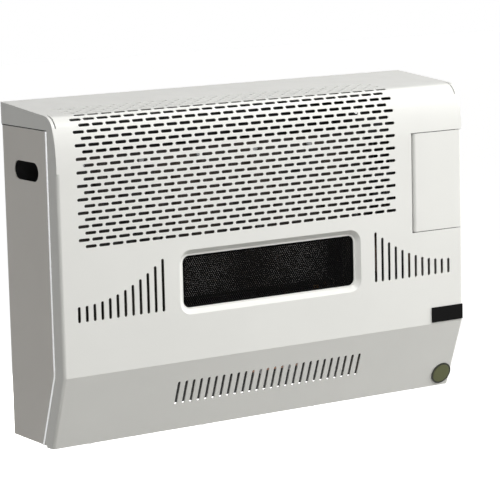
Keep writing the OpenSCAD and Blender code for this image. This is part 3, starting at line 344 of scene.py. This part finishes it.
# %% Heated skin
heated = Group("heated_skin", [("Colour", COLOUR, (0.1, 0.1, 0.1, 1)), ("Scorch", FLOAT, 0.5)],
               SURFACE)
bloom = heated.spread(heated.noise(14, 5, 0.6), 0.38, 0.66, 0.0, 1.0)
scorch = heated.math("MULTIPLY", bloom, heated.given.outputs["Scorch"])
browned = heated.blend(scorch, heated.given.outputs["Colour"], (0.16, 0.12, 0.09, 1))
oxide = heated.spread(heated.noise(420, 3, 0.7), 0.45, 0.75, 0.0, 0.25)
heated.give("Colour", heated.blend(oxide, browned, (0.3, 0.29, 0.28, 1)))
heated.give("Roughness", heated.spread(heated.noise(120, 3), 0.3, 0.7, 0.58, 0.78))
heated.give("Height", heated.noise(700, 3, 0.6))
print("group", heated.tree.name)

# %% [markdown]
# Ceramic fibre and foam rubber scatter light: one is a braid of coarse white yarn, the other a
# skin of small closed bubbles.

# %% Fibre and foam
fibre = Group("fibre_braid", [("Colour", COLOUR, (0.8, 0.8, 0.8, 1))],
              SURFACE)
plies = [fibre.node("ShaderNodeTexWave", {
    "Vector": fibre.place(turn=(0, turn, 0)), "Scale": 130.0, "Distortion": 2.0, "Detail": 2.0},
    bands_direction="X").outputs["Fac"] for turn in (0.8, -0.8)]
yarn = fibre.math("MAXIMUM", *plies)
fuzz = fibre.math("MULTIPLY", fibre.noise(1800, 3, 0.7), 0.4)
tint = fibre.spread(yarn, 0.2, 1.0, 0.72, 1.0)
fibre.give("Colour", fibre.tinted(tint))
fibre.give("Roughness", fibre.spread(yarn, 0, 1, 0.95, 0.85))
fibre.give("Height", fibre.math("ADD", yarn, fuzz))
foam = Group("foam_skin", [("Colour", COLOUR, (0.1, 0.1, 0.1, 1))],
             SURFACE)
bubbles = foam.node("ShaderNodeTexVoronoi", {"Vector": foam.place(), "Scale": 900.0})
pit = foam.spread(bubbles.outputs["Distance"], 0.1, 0.6, 0.0, 1.0)
foam.give("Colour", foam.blend(foam.math("MULTIPLY", pit, 0.3), foam.given.outputs["Colour"],
                               (0.16, 0.16, 0.16, 1)))
foam.give("Roughness", foam.spread(pit, 0, 1, 0.7, 0.85))
foam.give("Height", pit)
print("groups", fibre.tree.name, foam.tree.name)

# %% [markdown]
# A finish is one group, one worn-edge mask where it matters, and a shader. Depths of relief are in
# metres, as they are on the real thing: a few thousandths of a millimetre for enamel.

# %% Finish maker


def finish(name, group, colour, depth, metallic=0.0, edge_radius=0.0, extra=None, coat=0.0,
           coat_roughness=0.1, specular=0.5):
    """One material: a group for its look, and relief of the given depth."""
    material = bpy.data.materials.new(name)
    material.use_nodes = True
    tree = material.node_tree
    shader = tree.nodes["Principled BSDF"]
    shader.inputs["Metallic"].default_value = metallic
    shader.inputs["Coat Weight"].default_value = coat
    shader.inputs["Coat Roughness"].default_value = coat_roughness
    shader.inputs["Specular IOR Level"].default_value = specular
    effect = tree.nodes.new("ShaderNodeGroup")
    effect.node_tree = group.tree
    effect.inputs["Colour"].default_value = (*colour, 1)
    for key, value in (extra or {}).items():
        effect.inputs[key].default_value = value
    bump = tree.nodes.new("ShaderNodeBump")
    bump.inputs["Strength"].default_value = 1.0
    bump.inputs["Distance"].default_value = depth
    if edge_radius:
        mask = tree.nodes.new("ShaderNodeGroup")
        mask.node_tree = edge.tree
        mask.inputs["Radius"].default_value = edge_radius
        if "Edge" in effect.inputs:
            tree.links.new(mask.outputs["Mask"], effect.inputs["Edge"])
        soft = tree.nodes.new("ShaderNodeBevel")
        soft.samples = 4
        soft.inputs["Radius"].default_value = edge_radius
        tree.links.new(soft.outputs[0], bump.inputs["Normal"])
    tree.links.new(effect.outputs["Colour"], shader.inputs["Base Color"])
    tree.links.new(effect.outputs["Roughness"], shader.inputs["Roughness"])
    tree.links.new(effect.outputs["Height"], bump.inputs["Height"])
    tree.links.new(bump.outputs["Normal"], shader.inputs["Normal"])
    return material


FINISH = {
    "enamel_white": finish("white_enamel", film, (0.93, 0.93, 0.89), 0.000012, edge_radius=0.0006,
                           extra={"Edge colour": (0.62, 0.62, 0.60, 1), "Dust and shade": 0.42}),
    # The sides' enamel is a darker, warmer copy of the front's white: painted shade for the shaded
    # sides.
    "enamel_grey": finish("side_enamel_shaded", film, (0.86, 0.825, 0.765), 0.000012, edge_radius=0.0006,
                          extra={"Edge colour": (0.6, 0.6, 0.58, 1)}),
    "guard_black": finish("black_mesh_enamel", film, (0.003, 0.003, 0.003), 0.00001,
                          specular=0.03, extra={"Edge colour": (0.012, 0.012, 0.012, 1)}),
    # The cover's inner skin is near-black: painted shade, so that the slots read dark.
    "inner_primer": finish("inner_painted_shade", film, (0.012, 0.012, 0.012), 0.00001, specular=0.05,
                           extra={"Edge colour": (0.05, 0.05, 0.05, 1)}),
    "badge_black": finish("gloss_black_plate", mould, (0.003, 0.003, 0.003), 0.000001,
                          specular=0.06, edge_radius=0.0004),
    "emblem_olive": finish("olive_disc", printed, (0.125, 0.135, 0.05), 0.000002, specular=0.3,
                           extra={"Rim colour": (0.022, 0.024, 0.014, 1),
                                  "Rim radius": 0.0142}),
    "dark_plastic": finish("dark_moulded_plastic", mould, (0.028, 0.028, 0.029), 0.00001,
                           edge_radius=0.0005),
    # Inner parts: dark enamel made near-black, partly painted shade so that they read black through
    # the slots.
    "tray_grey": finish("dark_enamel_painted_shade", film, (0.03, 0.03, 0.031), 0.00001,
                        edge_radius=0.0006, extra={"Edge colour": (0.2, 0.2, 0.2, 1)}),
    "zinc_plate": finish("zinc_plating", drawn, (0.66, 0.67, 0.68), 0.000004, metallic=1.0,
                         edge_radius=0.0004, extra={"Dull colour": (0.5, 0.5, 0.46, 1),
                                                    "Dullness": 0.3}),
    "dial_plate": finish("brushed_dial_plate", drawn, (0.72, 0.73, 0.74), 0.000003, metallic=1.0,
                         extra={"Dull colour": (0.6, 0.6, 0.6, 1), "Dullness": 0.1}),
    "steel_plain": finish("drawn_steel", drawn, (0.48, 0.47, 0.46), 0.000004, metallic=1.0,
                          edge_radius=0.0004, extra={"Dull colour": (0.30, 0.29, 0.28, 1),
                                                     "Dullness": 0.35}),
    "cast_alloy": finish("die_cast_alloy", drawn, (0.56, 0.57, 0.58), 0.00002, metallic=1.0,
                         edge_radius=0.0008, extra={"Dull colour": (0.4, 0.4, 0.4, 1),
                                                    "Dullness": 0.5}),
    "brass_plain": finish("turned_brass", drawn, (0.72, 0.51, 0.22), 0.000004, metallic=1.0,
                          edge_radius=0.0004, extra={"Dull colour": (0.42, 0.30, 0.15, 1),
                                                     "Dullness": 0.4}),
    # Copper darkened beyond its tarnish, nearly black in patches: painted shade in the vents.
    "copper_plain": finish("copper_painted_shade", drawn, (0.30, 0.17, 0.12), 0.000004, metallic=1.0,
                           extra={"Dull colour": (0.05, 0.03, 0.025, 1), "Dullness": 0.9}),
    "aluminium_pipe": finish("bare_aluminium", drawn, (0.72, 0.73, 0.74), 0.000004, metallic=1.0,
                             extra={"Dull colour": (0.55, 0.55, 0.55, 1), "Dullness": 0.3}),
    "galvanised": finish("galvanised_sheet", zinc, (0.40, 0.405, 0.41), 0.000003, metallic=1.0,
                         edge_radius=0.0005),
    "hot_steel": finish("heated_steel", heated, (0.024, 0.0235, 0.023), 0.00002,
                        edge_radius=0.0006),
    "ceramic_rope": finish("ceramic_fibre", fibre, (0.80, 0.78, 0.72), 0.0004, specular=0.2),
    "ceramic_white": finish("glazed_ceramic", mould, (0.82, 0.80, 0.75), 0.000002, coat=1.0,
                            coat_roughness=0.05),
    "lead_red": finish("silicone_sleeve", mould, (0.12, 0.012, 0.010), 0.000006),
    "seal_rubber": finish("foam_rubber", foam, (0.02, 0.02, 0.02), 0.0001, specular=0.3),
}
print("finishes", len(FINISH))

# %% [markdown]
# The sight glass is clear glass ceramic, faintly brown, with a haze of dust baked on from the
# chamber side.

# %% Sight glass
glass = bpy.data.materials.new("sight_glass_ceramic")
glass.use_nodes = True
tree = glass.node_tree
shader = tree.nodes["Principled BSDF"]
shader.inputs["Transmission Weight"].default_value = 1.0
shader.inputs["IOR"].default_value = 1.5
haze = Group("baked_haze", [], [("Colour", COLOUR), ("Roughness", FLOAT)])
dust = haze.spread(haze.noise(30, 4, 0.6), 0.35, 0.75, 0.0, 1.0)
haze.give("Colour", haze.blend(dust, (0.78, 0.72, 0.64, 1), (0.60, 0.55, 0.48, 1)))
haze.give("Roughness", haze.spread(dust, 0, 1, 0.02, 0.12))
effect = tree.nodes.new("ShaderNodeGroup")
effect.node_tree = haze.tree
tree.links.new(effect.outputs["Colour"], shader.inputs["Base Color"])
tree.links.new(effect.outputs["Roughness"], shader.inputs["Roughness"])
FINISH["sight_glass"] = glass
print("glass ready")

# %% [markdown]
# Each solid takes the finish of its material slot. The badge plate, the control tray and the flap's
# magnet also get a small real rounding on their edges.

# %% Dress the solids
slot_of = {row["node"]: row["material_slot"] for row in frame["record"]["subparts"]}
for name, piece in nodes_by_name.items():
    piece.data.materials.clear()
    piece.data.materials.append(FINISH[slot_of[name]])


def round_edges(piece, width):
    weld = piece.modifiers.new("joined", "WELD")
    weld.merge_threshold = 0.002 * MM
    bevel = piece.modifiers.new("rounded", "BEVEL")
    bevel.width = width
    bevel.segments = 2
    bevel.limit_method = "ANGLE"
    bevel.angle_limit = math.radians(40)


for name, width in (("badge_plate", 0.4), ("control_tray", 0.4), ("flap_magnet", 0.6)):
    round_edges(nodes_by_name[name], width * MM)
print("dressed", len(nodes_by_name))

# %% [markdown]
# Every piece that is made anew goes from mesh code to an object in the scene in the same way.

# %% Piece maker


def new_piece(name, work, slot=None):
    """An object from a finished mesh; with a slot it gets that finish."""
    mesh = bpy.data.meshes.new(name)
    work.to_mesh(mesh)
    work.free()
    piece = bpy.data.objects.new(name, mesh)
    bpy.context.scene.collection.objects.link(piece)
    if slot:
        mesh.materials.append(FINISH[slot])
    return piece


def close_tube(work, rings):
    """Side faces between rings of points, and a cap at each end."""
    count = len(rings[0])
    for a, b in zip(rings, rings[1:]):
        for k in range(count):
            m = (k + 1) % count
            work.faces.new((a[k], a[m], b[m], b[k]))
    work.faces.new(rings[0])
    work.faces.new(list(reversed(rings[-1])))
    bmesh.ops.recalc_face_normals(work, faces=work.faces)


print("piece maker ready")

# %% [markdown]
# ## Front cover
# One sheet of steel, 1.2 mm thick: slotted on a punch press, dished round the window, rolled over
# the top and folded back along the sides and bottom, then enamelled. The sheet that is shown has
# the outline of the solid, with its curves shaded as true curves: only folds and cut edges sharper
# than 18 degrees stay as edges. Faces that look inwards and have the sheet's other skin behind them
# are near-black: painted shade, so that the slots read dark.

# %% Cover
FOLD_ANGLE = math.radians(18)
LOOK_DEPTH = 1.5 * MM
INSIDE = Vector((0, -0.06, 0))
mesh = nodes_by_name["front_cover"].data.copy()
mesh.name = "cover_sheet"
holder = bpy.data.objects.new("cover_sheet", mesh)
bpy.context.scene.collection.objects.link(holder)
if mesh.has_custom_normals:
    with bpy.context.temp_override(object=holder, active_object=holder, mesh=mesh):
        bpy.ops.mesh.customdata_custom_splitnormals_clear()
# The second finish, near-black, is painted shade on the cover's inner skin.
mesh.materials.append(FINISH["inner_primer"])
work = bmesh.new()
work.from_mesh(mesh)
bmesh.ops.remove_doubles(work, verts=work.verts, dist=0.0005 * MM)
shell = BVHTree.FromBMesh(work)
inner = 0
for face in work.faces:
    face.smooth = True
    spot = face.calc_center_median()
    if face.normal.y < -0.05 or face.normal.dot(INSIDE - spot) < 0:
        continue
    hit = shell.ray_cast(spot - face.normal * 0.1 * MM, -face.normal, LOOK_DEPTH)[0]
    if hit:
        face.material_index = 1
        inner += 1
for line in work.edges:
    line.smooth = len(line.link_faces) == 2 and line.calc_face_angle(0) < FOLD_ANGLE
work.to_mesh(mesh)
work.free()
even = holder.modifiers.new("even_shading", "WEIGHTED_NORMAL")
even.keep_sharp = True
even.weight = 90
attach(holder, "casing")
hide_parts("front_cover")
print("cover", len(mesh.vertices), "points", inner, "inner faces")

# %% [markdown]
# ## Window mesh
# Behind the dished opening sits a thin black plate, perforated so finely that it reads as a dark
# pane with a faint weave. The holes stand 3.1 mm apart in staggered rows. The plate is built of
# cells with six sides, each with a round hole in it, and has a plain rim.

# %% Window mesh


SIDES = 12
PLAIN_RIM = 6 * MM


def sheet_of_holes(name, width, height, pitch, hole_r, thick):
    """A plate in X and Z with staggered round holes, and a plain rim."""
    work = bmesh.new()
    step = pitch * math.sin(math.radians(60))
    rows = int((height - 2 * PLAIN_RIM) / step)
    columns = int((width - 2 * PLAIN_RIM) / pitch)
    for j in range(rows):
        z = (j - (rows - 1) / 2) * step
        count = columns - j % 2
        for i in range(count):
            x = (i - (count - 1) / 2) * pitch
            cell, bore = [], []
            for k in range(SIDES):
                a = math.radians(30 * k)
                reach = pitch / 2 if k % 2 == 0 else pitch / 2 / math.cos(math.radians(30))
                for ring, r in ((cell, reach), (bore, hole_r)):
                    ring.append(work.verts.new((x + r * math.cos(a), 0, z + r * math.sin(a))))
            for k in range(SIDES):
                m = (k + 1) % SIDES
                work.faces.new((cell[k], cell[m], bore[m], bore[k]))
    bmesh.ops.remove_doubles(work, verts=work.verts, dist=0.01 * MM)
    edge_x = (columns * pitch) / 2 - pitch / 2
    edge_z = (rows - 1) / 2 * step + pitch * 0.45
    for x0, x1, z0, z1 in ((-width / 2, width / 2, edge_z, height / 2),
                           (-width / 2, width / 2, -height / 2, -edge_z),
                           (-width / 2, -edge_x, -edge_z, edge_z),
                           (edge_x, width / 2, -edge_z, edge_z)):
        corners = [work.verts.new(p) for p in ((x0, 0, z0), (x1, 0, z0), (x1, 0, z1), (x0, 0, z1))]
        work.faces.new(corners)
    piece = new_piece(name, work, "guard_black")
    shell = piece.modifiers.new("sheet", "SOLIDIFY")
    shell.thickness = thick
    shell.offset = 1.0
    return piece


low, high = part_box("window_guard")
centre = (low + high) / 2
guard = sheet_of_holes("window_mesh", high.x - low.x, high.z - low.z, 3.1 * MM, 1.05 * MM,
                       0.6 * MM)
guard.data.transform(Matrix.Translation((centre.x, high.y - 0.1 * MM, centre.z)))
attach(guard, "casing")
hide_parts("window_guard")
print("window mesh", len(guard.data.polygons), "faces", [round(v, 4) for v in (low.y, high.y)])

# %% [markdown]
# ## Side seams
# The front edge of each side panel is folded to a round hem that stands in the gap behind the
# cover's side strip. Its plated edge shows as one thin bright line down the seam and along the
# slope. Under the level seam above it lies a strip of black foam rubber: painted shade for the dark
# line there.

# %% Side seams
panel_low, panel_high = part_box("left_side_panel")
cover_low, cover_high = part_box("front_cover")
STRIP_LAP = 11 * MM
SEAM_LAP = 6 * MM
BEVEL_HEIGHT, BEVEL_IN = 100 * MM, 38 * MM
HEM_WIDTH = 4.2 * MM
FREE = 0.02 * MM
SEAM_Y = panel_low.y + STRIP_LAP
SEAM_Z = panel_high.z - SEAM_LAP
panel_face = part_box("right_side_panel")[1].x + FREE


def side_hem(name, side):
    """The rounded fold along the front edge of a side panel, as one strip of sheet."""
    outer = cover_high.x - FREE
    start = SEAM_Y + 0.2 * MM
    run_down = BEVEL_HEIGHT - 1 * MM
    points = [(start, SEAM_Z - 1.6 * MM), (start, cover_low.z + BEVEL_HEIGHT),
              (start + run_down * BEVEL_IN / BEVEL_HEIGHT, cover_low.z + 1 * MM)]
    first = math.asin((panel_face - outer + HEM_WIDTH) / HEM_WIDTH)
    section = []
    for k in range(11):
        a = first + (math.pi / 2 - first) * k / 10
        section.append((outer - HEM_WIDTH * (1 - math.sin(a)), HEM_WIDTH * (1 - math.cos(a))))
    section.append((panel_face, HEM_WIDTH))
    work = bmesh.new()
    close_tube(work, [[work.verts.new((side * x, y + run, z)) for x, run in section]
                      for y, z in points])
    for face in work.faces:
        face.smooth = True
    for line in work.edges:
        line.smooth = line.calc_face_angle(0) < math.radians(25)
    piece = new_piece(name, work, "zinc_plate")
    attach(piece, "casing")
    return piece


def seam_shade_strip(name, side):
    """A black foam strip just under the cover's side strip: painted shade for the level seam."""
    x0, x1 = panel_face, cover_high.x - 0.2 * MM
    z0, z1 = SEAM_Z - 1.5 * MM, SEAM_Z - 0.05 * MM
    section = [(x0, z0), (x1 - 0.5 * MM, z0), (x1, z0 + 0.5 * MM), (x1, z1), (x0, z1)]
    work = bmesh.new()
    close_tube(work, [[work.verts.new((side * x, y, z)) for x, z in section]
                      for y in (SEAM_Y + 0.3 * MM, cover_high.y - 1 * MM)])
    piece = new_piece(name, work, "seal_rubber")
    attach(piece, "casing")
    return piece


for name, side in (("left_side", -1), ("right_side", 1)):
    print(side_hem(name + "_hem", side).name, seam_shade_strip(name + "_seal", side).name, "made")

# %% [markdown]
# ## Marks round the knob
# The plate round the control knob is printed with a plain scale: eight strokes that grow towards
# full heat. They are a thin print that stands a tenth of a millimetre proud of the plate.

# %% Dial marks
ring_low, ring_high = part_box("dial_ring")
dial = (ring_low + ring_high) / 2
ink = finish("black_print", mould, (0.012, 0.012, 0.012), 0.000001)
work = bmesh.new()


def stroke(work, angle, r0, r1, width, y0, y1):
    """A thin block that points outwards from the middle of the dial."""
    along = Vector((math.sin(angle), 0, math.cos(angle)))
    across = Vector((math.cos(angle), 0, -math.sin(angle)))
    middle = Vector((dial.x, 0, dial.z))
    ring = [middle + along * r + across * w for r, w in
            ((r0, -width / 2), (r0, width / 2), (r1, width / 2), (r1, -width / 2))]
    front = [work.verts.new((p.x, y0, p.z)) for p in ring]
    back = [work.verts.new((p.x, y1, p.z)) for p in ring]
    work.faces.new(front)
    work.faces.new(list(reversed(back)))
    for k in range(4):
        m = (k + 1) % 4
        work.faces.new((front[m], front[k], back[k], back[m]))


STROKES, SWEEP = 8, 240
PRINT = 0.1 * MM
face_y = ring_low.y
for n in range(STROKES):
    angle = math.radians(-SWEEP / 2 + SWEEP * n / (STROKES - 1))
    stroke(work, angle, 24.0 * MM, (26.2 + 0.5 * n) * MM, 1.2 * MM, face_y - PRINT, face_y + PRINT)
bmesh.ops.recalc_face_normals(work, faces=work.faces)
marks = new_piece("dial_strokes", work)
marks.data.materials.append(ink)
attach(marks, "casing")
print("dial marks", len(marks.data.polygons))

# %% [markdown]
# ## Floor
# A plain pale floor well below the heater, as it would be under one that hangs on a wall. It glows
# a little for the camera, so that it reads as white, and what shadow falls on it stays.

# %% Floor
FLOOR_HALF, FLOOR_Z, FLOOR_GLOW = 12, -0.75, 0.92
work = bmesh.new()
bmesh.ops.create_grid(work, x_segments=1, y_segments=1, size=FLOOR_HALF)
floor = new_piece("floor", work)
floor.location = (0, 0, FLOOR_Z)
paint = bpy.data.materials.new("floor_paint")
paint.use_nodes = True
tree = paint.node_tree
shader = tree.nodes["Principled BSDF"]
shader.inputs["Base Color"].default_value = (0.34, 0.335, 0.32, 1)
shader.inputs["Roughness"].default_value = 0.9
shader.inputs["Emission Color"].default_value = (1, 1, 1, 1)
scale = tree.nodes.new("ShaderNodeMath")
scale.operation = "MULTIPLY"
scale.inputs[1].default_value = FLOOR_GLOW
tree.links.new(seen_by_eye(tree), scale.inputs[0])
tree.links.new(scale.outputs[0], shader.inputs["Emission Strength"])
floor.data.materials.append(paint)
print("floor at", floor.location.z)
